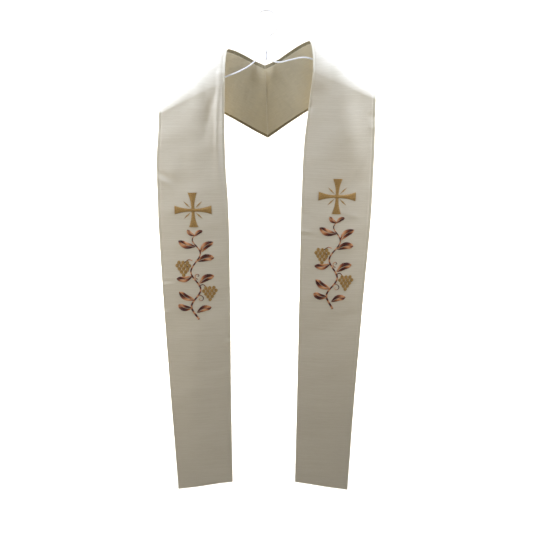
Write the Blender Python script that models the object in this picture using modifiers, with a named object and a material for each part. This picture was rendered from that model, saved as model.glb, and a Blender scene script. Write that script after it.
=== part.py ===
"""A clergy stole hanging on a white wire hanger, in metres.

The stole is two long bands of ivory cloth. Each hangs down in front, goes over one arm of
the hanger and meets the other at the centre back in a pointed, mitred seam. The origin is
the inner top of the hanger's hook, +Z is up and the stole faces -Y. Left and right are as
seen from the front. A "drop" is a depth below the origin.
"""

from collections import namedtuple
from math import pi

import bpy
import numpy as np
from mathutils import Matrix, Vector

LEFT, RIGHT = -1, 1
NAMES = {LEFT: "left", RIGHT: "right"}

# Cloth: the face and its interlining are one wall, the lining is a thinner one behind it.
FACE_WALL = 0.0015
LINING_WALL = 0.0010
SEAM_GAP = 0.0003
LINING_INSET = 0.007

# Where each band's two edges run in front, from the shoulder to below the hem.
FrontRow = namedtuple("FrontRow", "drop inner_x outer_x inner_y outer_y")
FRONT = {
    LEFT: (
        FrontRow(0.113, -0.0815, -0.2185, -0.0355, -0.0355),
        FrontRow(0.193, -0.0860, -0.2195, -0.0355, -0.0355),
        FrontRow(0.283, -0.0885, -0.2310, -0.0350, -0.0370),
        FrontRow(0.371, -0.0865, -0.2365, -0.0348, -0.0385),
        FrontRow(0.618, -0.0885, -0.2435, -0.0345, -0.0405),
        FrontRow(0.913, -0.0950, -0.2470, -0.0340, -0.0425),
        FrontRow(1.243, -0.1005, -0.2500, -0.0335, -0.0435),
    ),
    RIGHT: (
        FrontRow(0.093, 0.0925, 0.2185, -0.0355, -0.0355),
        FrontRow(0.163, 0.0870, 0.2190, -0.0355, -0.0355),
        FrontRow(0.253, 0.0790, 0.2220, -0.0350, -0.0370),
        FrontRow(0.371, 0.0765, 0.2260, -0.0348, -0.0385),
        FrontRow(0.618, 0.0775, 0.2285, -0.0345, -0.0405),
        FrontRow(0.913, 0.0795, 0.2275, -0.0340, -0.0425),
        FrontRow(1.243, 0.0812, 0.2270, -0.0335, -0.0435),
    ),
}
# How low the hem hangs at the inner and the outer edge.
HEM_DROP = {LEFT: (1.2075, 1.2230), RIGHT: (1.2075, 1.2285)}

# The bend over the shoulder, as pairs of values at the inner and the outer edge: where it
# leaves the front, how high it crowns, how tall its profile is, and where it joins the back.
Shoulder = namedtuple("Shoulder", "spring_drop crown_drop rise back_x back_drop back_y")
SHOULDER = {
    LEFT: Shoulder(
        spring_drop=(0.127, 0.189),
        crown_drop=(0.0678, 0.1655),
        rise=(0.040, 0.017),
        back_x=(-0.030, -0.188),
        back_drop=(0.0885, 0.1625),
        back_y=(0.016, 0.002),
    ),
    RIGHT: Shoulder(
        spring_drop=(0.108, 0.161),
        crown_drop=(0.0520, 0.1370),
        rise=(0.040, 0.019),
        back_x=(0.030, 0.183),
        back_drop=(0.0850, 0.1420),
        back_y=(0.016, 0.002),
    ),
}
# Over 1 pinches the bend towards its crown, as stiff interlined cloth does.
PINCH = 1.35

# The centre back seam, from the neck down to the point, and how steeply the edges meet it.
SEAM_TOP_X, SEAM_TOP_DROP = -0.0030, 0.0990
SEAM_TIP_X, SEAM_TIP_DROP = 0.0030, 0.2485
SEAM_Y = 0.018
SEAM_SLOPE = {LEFT: (-0.36, -0.51), RIGHT: (-0.36, -0.71)}
# At the neck the seam leans forward against the hanger's stem.
STEM_DENT = 0.0131
STEM_DENT_WIDTH = 0.016
STEM_DENT_HEIGHT = 0.030

# The largest soft folds: where, how long and wide (half sizes), and how far they stand out.
Fold = namedtuple("Fold", "drop across half_length half_width height")
FOLDS = {
    LEFT: (
        Fold(0.215, 0.010, 0.110, 0.012, 0.0030),
        Fold(0.190, 0.030, 0.070, 0.014, -0.0030),
        Fold(0.330, 0.100, 0.120, 0.040, 0.0030),
        Fold(0.700, 0.075, 0.200, 0.045, 0.0025),
        Fold(1.050, 0.050, 0.160, 0.050, -0.0025),
    ),
    RIGHT: (
        Fold(0.230, 0.030, 0.130, 0.030, -0.0035),
        Fold(0.300, 0.115, 0.150, 0.035, 0.0035),
        Fold(0.640, 0.060, 0.180, 0.045, 0.0030),
        Fold(1.000, 0.090, 0.200, 0.045, -0.0025),
    ),
}

# Folds die away over this share of the front's length, just below the shoulder.
FOLD_FADE = 0.125

# How finely the walls are divided: rows along each stretch, and where columns cross.
FRONT_ROWS, BEND_ROWS, BACK_ROWS = 22, 18, 9
COLUMNS = (0.0, 0.06, 0.14, 0.25, 0.38, 0.52, 0.66, 0.80, 0.92, 1.0)

# Hanger: white coated wire, two arms in a small neck, and a hook above it.
WIRE_RADIUS = 0.0015
HOOK_INNER_RADIUS = 0.021
HOOK_START_ANGLE = -50
HOOK_END_ANGLE = 205
HOOK_STEPS = 30
# The stem runs straight this far above the neck, then swings over to the hook in an S.
STEM_LENGTH = 0.012
SWING_PULL = 0.011
SWING_STEPS = 9
NECK_RADIUS = 0.0042
NECK_CHAMFER = 0.28
NECK_TOP_DROP = 0.0720
NECK_BOTTOM_DROP = 0.0900
ArmPoint = namedtuple("ArmPoint", "x drop y")
ARMS = {
    LEFT: (
        ArmPoint(-0.0052, 0.0830, 0.0000),
        ArmPoint(-0.0200, 0.0885, -0.0060),
        ArmPoint(-0.0350, 0.0988, -0.0130),
        ArmPoint(-0.0520, 0.1074, -0.0200),
        ArmPoint(-0.0820, 0.1185, -0.0262),
        ArmPoint(-0.1200, 0.1340, -0.0280),
        ArmPoint(-0.1650, 0.1535, -0.0275),
        ArmPoint(-0.2050, 0.1720, -0.0249),
    ),
    RIGHT: (
        ArmPoint(0.0052, 0.0870, 0.0000),
        ArmPoint(0.0148, 0.0912, -0.0045),
        ArmPoint(0.0275, 0.0922, -0.0100),
        ArmPoint(0.0440, 0.0882, -0.0165),
        ArmPoint(0.0780, 0.0828, -0.0236),
        ArmPoint(0.0940, 0.0865, -0.0244),
        ArmPoint(0.1400, 0.1060, -0.0224),
        ArmPoint(0.2050, 0.1400, -0.0208),
    ),
}
ARM_STEPS = 34

IVORY = (0.755, 0.716, 0.591)
LINING_IVORY = (0.660, 0.610, 0.450)
WHITE_COATING = (0.870, 0.870, 0.860)


def clear_scene():
    for obj in list(bpy.data.objects):
        bpy.data.objects.remove(obj, do_unlink=True)


def make_collection(name):
    collection = bpy.data.collections.new(name)
    bpy.context.scene.collection.children.link(collection)
    return collection


def make_material(name, colour, roughness, metallic=0.0):
    material = bpy.data.materials.new(name)
    material.use_nodes = True
    shader = material.node_tree.nodes["Principled BSDF"]
    shader.inputs["Base Color"].default_value = (*colour, 1.0)
    shader.inputs["Roughness"].default_value = roughness
    shader.inputs["Metallic"].default_value = metallic
    return material


def blend(pair, share):
    """The value at a share of the way from the pair's first to its second."""
    return pair[0] * (1.0 - share) + pair[1] * share


def smooth_table(stops, values, where):
    """A smooth curve through the table's values, read at the places asked for."""
    stops = np.asarray(stops, float)
    values = np.asarray(values, float)
    slopes = np.gradient(values, stops)
    where = np.clip(where, stops[0], stops[-1])
    left = np.clip(np.searchsorted(stops, where) - 1, 0, len(stops) - 2)
    step = stops[left + 1] - stops[left]
    t = (where - stops[left]) / step
    start = (2 * t**3 - 3 * t**2 + 1) * values[left]
    start += (t**3 - 2 * t**2 + t) * step * slopes[left]
    end = (3 * t**2 - 2 * t**3) * values[left + 1]
    end += (t**3 - t**2) * step * slopes[left + 1]
    return start + end


def front_points(side, across, drop):
    """Points of the band in front: straight lines between its two edges at each drop."""
    rows = FRONT[side]
    drops = [row.drop for row in rows]
    inner_x = smooth_table(drops, [row.inner_x for row in rows], drop)
    outer_x = smooth_table(drops, [row.outer_x for row in rows], drop)
    inner_y = smooth_table(drops, [row.inner_y for row in rows], drop)
    outer_y = smooth_table(drops, [row.outer_y for row in rows], drop)
    x = blend((inner_x, outer_x), across)
    y = blend((inner_y, outer_y), across)
    return np.stack([x, y, -drop], axis=-1)


def bend_profile(angle, half_depth, rise):
    """The bend's profile at an angle from 0, front, to pi, back.

    Depth goes as a pinched cosine and height as a pinched sine. Returns the depth, the
    height and the share of the way round, measured along the cloth, and its whole length.
    """
    turns = np.linspace(0.0, pi, 121)
    depth = np.sign(np.cos(turns)) * np.abs(np.cos(turns)) ** PINCH
    height = np.abs(np.sin(turns)) ** PINCH
    steps = np.hypot(
        half_depth[..., None] * np.diff(depth), rise[..., None] * np.diff(height)
    )
    lengths = np.concatenate([np.zeros_like(steps[..., :1]), steps.cumsum(-1)], -1)
    place = angle / pi * (len(turns) - 1)
    below = np.clip(place.astype(int), 0, len(turns) - 2)
    part = place - below
    start = np.take_along_axis(lengths, below[..., None], -1)[..., 0]
    end = np.take_along_axis(lengths, below[..., None] + 1, -1)[..., 0]
    whole = lengths[..., -1]
    share = (start + (end - start) * part) / whole
    pinched_depth = np.sign(np.cos(angle)) * np.abs(np.cos(angle)) ** PINCH
    return pinched_depth, np.abs(np.sin(angle)) ** PINCH, share, whole


def seam_points(across):
    """Points down the centre back seam, from the neck to the point."""
    x = blend((SEAM_TOP_X, SEAM_TIP_X), across)
    drop = blend((SEAM_TOP_DROP, SEAM_TIP_DROP), across)
    return np.stack([x, np.full_like(x, SEAM_Y), -drop], axis=-1)


def band_surface(side, along, across):
    """Outer face of one band.

    along runs 0 to 1 up the front, 1 to 2 over the shoulder and 2 to 3 to the back seam.
    across runs 0 to 1 from the inner, neck edge to the outer edge. In front the band is
    read from its edges' table. Over the shoulder each line leaves the front straight up,
    shifts inwards in step with the length of cloth used, and rises and falls by the bend's
    profile. Behind, it runs on smoothly to the seam.
    """
    shape = SHOULDER[side]
    spring_drop = blend(shape.spring_drop, across)
    hem_drop = blend(HEM_DROP[side], across)
    front_drop = blend((hem_drop, spring_drop), np.clip(along, 0, 1))
    front = front_points(side, across, front_drop)

    spring = front_points(side, across, spring_drop)
    back_y = blend(shape.back_y, across)
    back = np.stack([blend(shape.back_x, across), back_y, -blend(shape.back_drop, across)], -1)
    shift = back - spring
    half_depth = shift[..., 1] / 2
    rise = blend(shape.rise, across)
    angle = np.clip(along - 1, 0, 1) * pi
    depth, height, share, length = bend_profile(angle, half_depth, rise)
    lean_x = -shift[..., 0] * rise / length
    crown_z = -blend(shape.crown_drop, across)
    lift_z = crown_z - spring[..., 2] - shift[..., 2] / 2
    bend = np.stack(
        [
            spring[..., 0] + shift[..., 0] * share + lean_x * height,
            spring[..., 1] + half_depth * (1 - depth),
            spring[..., 2] + shift[..., 2] * share + lift_z * height,
        ],
        axis=-1,
    )

    seam = seam_points(across)
    span = np.linalg.norm(seam - back, axis=-1, keepdims=True)
    leave = np.stack(
        [
            shift[..., 0] * rise / length - lean_x,
            np.zeros_like(lean_x),
            shift[..., 2] * rise / length - lift_z,
        ],
        axis=-1,
    )
    leave *= span / np.linalg.norm(leave, axis=-1, keepdims=True)
    slope = blend(SEAM_SLOPE[side], across)
    arrive = np.stack([np.full_like(slope, -side), np.zeros_like(slope), slope], -1)
    arrive *= span / np.linalg.norm(arrive, axis=-1, keepdims=True)
    t = np.clip(along - 2, 0, 1)[..., None]
    behind = (2 * t**3 - 3 * t**2 + 1) * back + (t**3 - 2 * t**2 + t) * leave
    behind += (3 * t**2 - 2 * t**3) * seam + (t**3 - t**2) * arrive
    from_seam = (behind[..., 0] - SEAM_TOP_X) / STEM_DENT_WIDTH
    below_neck = (behind[..., 2] + SEAM_TOP_DROP) / STEM_DENT_HEIGHT
    behind[..., 1] -= STEM_DENT * np.exp(-(from_seam**2) - below_neck**2) * t[..., 0]

    over = np.where((along <= 2)[..., None], bend, behind)
    return np.where((along <= 1)[..., None], front, over)


def add_folds(side, points, outward, along, across):
    """Moves the front's points in or out by its folds, each a soft, rounded swell."""
    width = abs(FRONT[side][3].outer_x - FRONT[side][3].inner_x)
    moved = np.zeros(along.shape)
    for fold in FOLDS[side]:
        up = (-points[..., 2] - fold.drop) / fold.half_length
        over = (across * width - fold.across) / fold.half_width
        moved += fold.height * np.exp(-(up**2) - over**2)
    moved *= np.clip((1.0 - along) / FOLD_FADE, 0, 1)
    return points + outward * moved[..., None]


def outward_of(points, side):
    """Unit normals of a grid of points, on the side away from the hanger."""
    along = np.gradient(points, axis=0)
    across = np.gradient(points, axis=1)
    normals = np.cross(across, along) * side
    return normals / np.linalg.norm(normals, axis=-1, keepdims=True)


def band_grid(side, inset, depth):
    """A grid of points on the band, set back by depth, with its edges drawn in by inset."""
    margin = inset / abs(FRONT[side][3].outer_x - FRONT[side][3].inner_x)
    hem = inset / (HEM_DROP[side][0] - SHOULDER[side].spring_drop[0])
    front = np.linspace(0, 1, FRONT_ROWS, endpoint=False)
    bend = np.linspace(1, 2, BEND_ROWS, endpoint=False)
    back = np.linspace(2, 3, BACK_ROWS + 1)
    rows = np.maximum(np.concatenate([front, bend, back]), hem)
    columns = np.clip(COLUMNS, margin, 1 - margin)
    along, across = np.meshgrid(rows, columns, indexing="ij")
    points = band_surface(side, along, across)
    points = add_folds(side, points, outward_of(points, side), along, across)
    points = points - outward_of(points, side) * depth
    points[-1, :, 0] = seam_x(points[-1, :, 2], side)
    return points


def seam_x(height, side):
    """The seam's own line, half the seam gap to one side of it."""
    share = (-height - SEAM_TOP_DROP) / (SEAM_TIP_DROP - SEAM_TOP_DROP)
    return blend((SEAM_TOP_X, SEAM_TIP_X), share) + side * SEAM_GAP / 2


def add_shell(name, points, wall, side, material, collection):
    """A sheet through a grid of points, given its wall on the inner side."""
    rows, columns = points.shape[:2]
    index = np.arange(rows * columns).reshape(rows, columns)
    corners = (index[:-1, :-1], index[:-1, 1:], index[1:, 1:], index[1:, :-1])
    if side == LEFT:
        corners = corners[::-1]
    faces = np.stack(corners, axis=-1).reshape(-1, 4)
    mesh = bpy.data.meshes.new(name)
    mesh.from_pydata(points.reshape(-1, 3).tolist(), [], faces.tolist())
    mesh.materials.append(material)
    mesh.shade_smooth()
    obj = bpy.data.objects.new(name, mesh)
    collection.objects.link(obj)
    solidify = obj.modifiers.new("Cloth wall", "SOLIDIFY")
    solidify.thickness = wall
    solidify.offset = -1.0
    solidify.use_even_offset = True
    return obj


def add_wire(name, points, material, collection):
    """A round wire along a list of points, with closed ends."""
    curve = bpy.data.curves.new(name, "CURVE")
    curve.dimensions = "3D"
    curve.bevel_depth = WIRE_RADIUS
    curve.bevel_resolution = 2
    curve.use_fill_caps = True
    spline = curve.splines.new("POLY")
    spline.points.add(len(points) - 1)
    for point, place in zip(spline.points, points):
        point.co = (*place, 1.0)
    curve.materials.append(material)
    obj = bpy.data.objects.new(name, curve)
    collection.objects.link(obj)
    return obj


def arm_points(side):
    """A hanger arm, bowed forwards from the neck and sloping down to its tip."""
    rows = ARMS[side]
    reach = [side * row.x for row in rows]
    at = np.linspace(reach[0], reach[-1], ARM_STEPS)
    drop = smooth_table(reach, [row.drop for row in rows], at)
    y = smooth_table(reach, [row.y for row in rows], at)
    return np.stack([side * at, y, -drop], axis=-1).tolist()


def hook_points():
    """The stem, its swing to the right, and the round of the hook over the origin."""
    radius = HOOK_INNER_RADIUS + WIRE_RADIUS
    centre = Vector((0.0, 0.0, -HOOK_INNER_RADIUS))
    angles = np.radians(np.linspace(HOOK_START_ANGLE, HOOK_END_ANGLE, HOOK_STEPS))
    ring = [centre + Vector((np.cos(a), 0.0, np.sin(a))) * radius for a in angles]
    start = Vector((0.0, 0.0, -(NECK_TOP_DROP - SEAM_GAP)))
    stem_top = Vector((0.0, 0.0, -NECK_TOP_DROP + STEM_LENGTH))
    tangent = Vector((-np.sin(angles[0]), 0.0, np.cos(angles[0])))
    swing = []
    for step in np.linspace(0.0, 1.0, SWING_STEPS)[:-1]:
        keep = 1.0 - step
        point = keep**3 * stem_top
        point += 3 * keep**2 * step * (stem_top + Vector((0.0, 0.0, SWING_PULL)))
        point += 3 * keep * step**2 * (ring[0] - tangent * SWING_PULL)
        swing.append(point + step**3 * ring[0])
    return [start] + swing + ring


def add_neck(material, collection):
    """The neck that holds the hook and both arms: a short turned sleeve."""
    mesh = bpy.data.meshes.new("hanger_neck")
    obj = bpy.data.objects.new("hanger_neck", mesh)
    collection.objects.link(obj)
    half = (NECK_BOTTOM_DROP - NECK_TOP_DROP) / 2
    cut = 1.0 - NECK_CHAMFER
    profile = [(0.0, 1.0), (cut, 1.0), (1.0, cut), (1.0, -cut), (cut, -1.0), (0.0, -1.0)]
    points = [(NECK_RADIUS * out, 0.0, half * up) for out, up in profile]
    edges = [(i, i + 1) for i in range(len(points) - 1)]
    mesh.from_pydata(points, edges, [])
    mesh.materials.append(material)
    turn = obj.modifiers.new("Turned", "SCREW")
    turn.steps = 16
    turn.render_steps = 16
    turn.use_merge_vertices = True
    turn.merge_threshold = 0.00001
    obj.matrix_world = Matrix.Translation((0.0, 0.0, -(NECK_TOP_DROP + half)))
    return obj


def main():
    clear_scene()
    collection = make_collection("clergy stole on a hanger")
    ivory = make_material("Ivory satin", IVORY, 0.55)
    lining = make_material("Ivory lining", LINING_IVORY, 0.6)
    coating = make_material("White coated wire", WHITE_COATING, 0.35)
    for side in (LEFT, RIGHT):
        face = band_grid(side, 0.0, 0.0)
        add_shell(f"strip_{NAMES[side]}", face, FACE_WALL, side, ivory, collection)
        back = band_grid(side, LINING_INSET, FACE_WALL + SEAM_GAP)
        add_shell(f"lining_{NAMES[side]}", back, LINING_WALL, side, lining, collection)
        add_wire(f"hanger_arm_{NAMES[side]}", arm_points(side), coating, collection)
    add_wire("hanger_hook", hook_points(), coating, collection)
    add_neck(coating, collection)


main()
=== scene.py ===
"""A clergy stole hanging on a wire hanger, finished as the real one looks.

Two long bands of ivory ribbed satin hang in front, go over the hanger's arms and meet behind in
a pointed seam. Sizes are in metres. The origin is the inner top of the hanger's hook, +Z is up
and the stole faces -Y. Left and right are as seen from the front.
"""

from collections import namedtuple

import bpy
import numpy as np
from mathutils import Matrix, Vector


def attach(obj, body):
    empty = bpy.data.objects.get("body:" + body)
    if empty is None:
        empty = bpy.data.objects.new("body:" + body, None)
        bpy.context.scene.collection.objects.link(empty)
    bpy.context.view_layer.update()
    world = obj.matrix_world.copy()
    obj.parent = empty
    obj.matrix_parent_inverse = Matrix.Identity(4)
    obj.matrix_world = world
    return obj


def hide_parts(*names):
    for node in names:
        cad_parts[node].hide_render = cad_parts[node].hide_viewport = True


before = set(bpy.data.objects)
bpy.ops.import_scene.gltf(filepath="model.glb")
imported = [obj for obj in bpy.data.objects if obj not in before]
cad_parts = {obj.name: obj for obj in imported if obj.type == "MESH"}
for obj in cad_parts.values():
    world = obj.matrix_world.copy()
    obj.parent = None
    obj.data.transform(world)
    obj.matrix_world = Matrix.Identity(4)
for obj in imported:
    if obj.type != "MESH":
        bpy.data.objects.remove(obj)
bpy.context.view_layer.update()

# The view. The camera stands level with the hook, a little over a metre in front of it, and
# looks down the stole, so the shoulders come near and the hems go far.
CAMERA_PLACE = (0.0, -1.1455, -0.013)
CAMERA_TILT = 65.0
LENS_MM = 35.93

camera_data = bpy.data.cameras.new("view")
camera_data.lens = LENS_MM
camera_data.sensor_width = 36.0
camera_data.clip_start = 0.05
camera = bpy.data.objects.new("view", camera_data)
camera.location = CAMERA_PLACE
camera.rotation_euler = (np.radians(CAMERA_TILT), 0.0, 0.0)
bpy.context.scene.collection.objects.link(camera)
bpy.context.scene.camera = camera


# The two face bands. Each is one length of ivory ribbed satin over a stiff interlining, with
# its edges turned over. It hangs in front, bends over the hanger's arm and runs down behind
# to the centre seam, where it is cut to a mitre.
LEFT, RIGHT = -1, 1
NAMES = {LEFT: "left", RIGHT: "right"}
BAND_WIDTH = 0.15
FACE_WALL = 0.0015

FrontRow = namedtuple("FrontRow", "drop inner_x outer_x inner_y outer_y")
FRONT = {
    LEFT: (
        FrontRow(0.113, -0.0815, -0.2185, -0.0355, -0.0355),
        FrontRow(0.193, -0.0860, -0.2195, -0.0355, -0.0355),
        FrontRow(0.283, -0.0872, -0.2310, -0.0350, -0.0370),
        FrontRow(0.371, -0.0840, -0.2365, -0.0348, -0.0385),
        FrontRow(0.618, -0.0860, -0.2435, -0.0345, -0.0405),
        FrontRow(0.913, -0.0920, -0.2470, -0.0340, -0.0425),
        FrontRow(1.243, -0.0965, -0.2500, -0.0335, -0.0435),
    ),
    RIGHT: (
        FrontRow(0.093, 0.0925, 0.2185, -0.0355, -0.0355),
        FrontRow(0.163, 0.0870, 0.2200, -0.0355, -0.0355),
        FrontRow(0.253, 0.0790, 0.2250, -0.0350, -0.0370),
        FrontRow(0.371, 0.0765, 0.2292, -0.0348, -0.0385),
        FrontRow(0.618, 0.0775, 0.2285, -0.0345, -0.0405),
        FrontRow(0.913, 0.0795, 0.2275, -0.0340, -0.0425),
        FrontRow(1.243, 0.0812, 0.2300, -0.0335, -0.0435),
    ),
}
HEM_DROP = {LEFT: (1.2075, 1.2230), RIGHT: (1.2075, 1.2285)}

# The bend over the shoulder, as pairs of values at the inner and the outer edge.
Shoulder = namedtuple("Shoulder", "spring_drop crown_drop rise back_x back_drop back_y")
SHOULDER = {
    LEFT: Shoulder(
        spring_drop=(0.127, 0.189),
        crown_drop=(0.0678, 0.1655),
        rise=(0.040, 0.017),
        back_x=(-0.030, -0.188),
        back_drop=(0.0885, 0.1625),
        back_y=(0.016, 0.002),
    ),
    RIGHT: Shoulder(
        spring_drop=(0.108, 0.161),
        crown_drop=(0.0520, 0.1370),
        rise=(0.040, 0.019),
        back_x=(0.030, 0.183),
        back_drop=(0.0850, 0.1420),
        back_y=(0.016, 0.002),
    ),
}
PINCH = 1.35
SEAM_TOP_X, SEAM_TOP_DROP = -0.0030, 0.0990
SEAM_TIP_X, SEAM_TIP_DROP = 0.0030, 0.2485
SEAM_Y = 0.018
SEAM_GAP = 0.0003
SEAM_SLOPE = {LEFT: (-0.36, -0.51), RIGHT: (-0.36, -0.71)}
STEM_DENT = 0.0131
STEM_DENT_WIDTH = 0.016
STEM_DENT_HEIGHT = 0.030

# Creases as soft troughs and ridges. down is measured down the cloth's grain: in front it is the
# depth below the hook, and it goes on along the cloth over the shoulder and behind. across is
# from the inner edge; turn is the crease's lean in degrees, outwards as it goes down.
Crease = namedtuple("Crease", "down across half_length half_width height turn")
CREASES = {
    LEFT: (
        # The inner edge rolls back below the shoulder, with a ridge and a trough beside it.
        Crease(0.240, 0.000, 0.100, 0.009, -0.0048, 0),
        Crease(0.215, 0.015, 0.085, 0.007, 0.0036, 2),
        Crease(0.182, 0.036, 0.050, 0.011, -0.0046, 10),
        Crease(0.219, 0.004, 0.010, 0.004, -0.0012, 84),
        Crease(0.229, 0.006, 0.010, 0.005, 0.0010, 84),
        # Pulls over the hanger's arm.
        Crease(0.116, 0.008, 0.014, 0.005, 0.0016, 78),
        Crease(0.132, 0.004, 0.008, 0.003, 0.0007, 86),
        Crease(0.160, 0.062, 0.034, 0.012, 0.0008, 14),
        # The chest: a diagonal pucker at the outer edge, and soft swells.
        Crease(0.300, 0.114, 0.024, 0.018, 0.0016, 0),
        Crease(0.315, 0.136, 0.019, 0.0060, -0.0017, -62),
        Crease(0.328, 0.137, 0.018, 0.0060, 0.0012, -62),
        Crease(0.330, 0.066, 0.120, 0.024, 0.0014, 3),
        # Long shallow hollows and small puckers at the edges, lower down.
        Crease(0.566, 0.141, 0.014, 0.004, -0.0010, 88),
        Crease(0.572, 0.141, 0.014, 0.004, 0.0008, 88),
        Crease(0.637, 0.146, 0.009, 0.005, -0.0012, 98),
        Crease(0.648, 0.146, 0.009, 0.005, 0.0010, 98),
        Crease(0.722, 0.003, 0.009, 0.004, -0.0010, 80),
        Crease(0.735, 0.004, 0.010, 0.004, 0.0010, 80),
        Crease(0.746, 0.004, 0.009, 0.004, -0.0009, 80),
        Crease(0.720, 0.112, 0.160, 0.028, -0.0012, -4),
        Crease(0.784, 0.040, 0.200, 0.028, -0.0014, 3),
        Crease(0.960, 0.100, 0.150, 0.030, 0.0016, -3),
        Crease(1.101, 0.034, 0.140, 0.024, -0.0014, 5),
        # The band's middle springs furthest forward halfway down.
        Crease(0.720, 0.075, 0.240, 0.055, 0.0030, 0),
        # Behind: pulls towards the seam, and the point leans back.
        Crease(-0.088, 0.150, 0.050, 0.050, 0.0035, 0),
        Crease(-0.030, 0.020, 0.012, 0.007, 0.0008, 60),
        Crease(-0.034, 0.070, 0.050, 0.010, 0.0006, 30),
        Crease(-0.030, 0.105, 0.060, 0.012, -0.0005, 22),
    ),
    RIGHT: (
        # A broad crest slants out from the neck, and the inner half falls back from it.
        Crease(0.205, 0.086, 0.095, 0.032, 0.0060, 14),
        Crease(0.255, 0.000, 0.130, 0.044, -0.0105, 0),
        Crease(0.177, 0.003, 0.009, 0.006, -0.0016, 70),
        Crease(0.106, 0.008, 0.014, 0.005, 0.0012, 98),
        # The outer edge: a light diagonal fold, and a small wobble above it.
        Crease(0.300, 0.126, 0.036, 0.010, 0.0011, -30),
        Crease(0.318, 0.110, 0.036, 0.010, -0.0009, -30),
        Crease(0.194, 0.147, 0.012, 0.006, -0.0014, 84),
        Crease(0.216, 0.148, 0.012, 0.007, 0.0012, 94),
        Crease(0.404, 0.110, 0.016, 0.008, 0.0012, 74),
        Crease(0.404, 0.004, 0.012, 0.006, -0.0010, 84),
        Crease(0.444, 0.006, 0.016, 0.004, 0.0012, 86),
        Crease(0.453, 0.006, 0.016, 0.004, -0.0012, 86),
        # Long shallow hollows lower down.
        Crease(0.640, 0.034, 0.200, 0.030, -0.0016, 3),
        Crease(0.590, 0.116, 0.170, 0.028, 0.0012, -3),
        Crease(0.900, 0.090, 0.180, 0.030, -0.0012, 4),
        Crease(1.060, 0.060, 0.160, 0.030, -0.0014, -4),
        Crease(0.860, 0.146, 0.010, 0.005, -0.0012, 90),
        # The band's middle springs furthest forward halfway down.
        Crease(0.700, 0.075, 0.240, 0.055, 0.0030, 0),
        # Behind: pulls towards the seam, and the point leans back.
        Crease(-0.118, 0.150, 0.050, 0.050, 0.0035, 0),
        Crease(-0.046, 0.016, 0.012, 0.007, 0.0008, 60),
        Crease(-0.056, 0.060, 0.050, 0.011, 0.0006, 28),
        Crease(-0.062, 0.100, 0.060, 0.012, -0.0005, 20),
    ),
}
# Slow waves all over, so that no stretch is dead flat.
Wave = namedtuple("Wave", "down across phase height")
WAVES = (
    Wave(0.310, 0.260, 0.4, 0.0007),
    Wave(0.170, 0.410, 2.1, 0.0005),
    Wave(0.083, 0.120, 4.0, 0.0003),
    Wave(0.041, 0.300, 1.3, 0.00012),
)
# In front each band is crowned across: the interlining springs its middle forward by this much.
# The crown grows below the arm over CROWN_START, and most of it goes within HEM_REACH of the hem,
# so the hem is straight.
CROWN = 0.0042
CROWN_START = 0.150
CROWN_LOST_AT_HEM = 0.85
HEM_REACH = 0.120
# The hanger's arm lies this far above where the cloth leaves the front. Within its reach the
# cloth rests on it, so it only stands out.
ARM_ABOVE = 0.010
ARM_REACH = 0.035
# The turning is the strip folded over at each edge. A shallow groove marks its inner side, and
# it ends near the seam, where nothing is turned.
TURNING_WIDTH = 0.0056
TURNING_GROOVE = 0.00045
TURNING_GROOVE_WIDTH = 0.0013
GROOVE_END = 2.6
ROUND_DEPTH = 0.9

# The grid of each sheet: steps in from an edge, even steps from there on, and the last rows
# before the seam.
EDGE_STEPS_MM = (0, 0.1, 0.3, 0.55, 0.9, 1.6, 2.6, 3.5, 4.2, 4.8, 5.4, 6.2, 7.4)
EVEN_FROM = 0.0095
COLUMNS = 52
FRONT_ROWS, BEND_ROWS, BACK_ROWS = 370, 64, 60
SEAM_STEPS = (2.985, 2.9905, 2.9945, 2.9975, 3.0)


def blend(pair, share):
    """The value at a share of the way from the pair's first to its second."""
    return pair[0] * (1.0 - share) + pair[1] * share


def smooth_table(stops, values, where):
    """Cubic curve through the table's values, its slope at each the mean of its neighbours'."""
    stops = np.asarray(stops, float)
    values = np.asarray(values, float)
    slopes = np.gradient(values, stops)
    where = np.clip(where, stops[0], stops[-1])
    left = np.clip(np.searchsorted(stops, where) - 1, 0, len(stops) - 2)
    step = stops[left + 1] - stops[left]
    t = (where - stops[left]) / step
    start = (2 * t**3 - 3 * t**2 + 1) * values[left]
    start += (t**3 - 2 * t**2 + t) * step * slopes[left]
    end = (3 * t**2 - 2 * t**3) * values[left + 1]
    end += (t**3 - t**2) * step * slopes[left + 1]
    return start + end


def front_points(side, across, drop):
    """The hanging front: at each depth, a straight line from the inner to the outer edge."""
    rows = FRONT[side]
    drops = [row.drop for row in rows]
    inner_x = smooth_table(drops, [row.inner_x for row in rows], drop)
    outer_x = smooth_table(drops, [row.outer_x for row in rows], drop)
    inner_y = smooth_table(drops, [row.inner_y for row in rows], drop)
    outer_y = smooth_table(drops, [row.outer_y for row in rows], drop)
    x = blend((inner_x, outer_x), across)
    y = blend((inner_y, outer_y), across)
    return np.stack([x, y, -drop], axis=-1)


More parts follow.
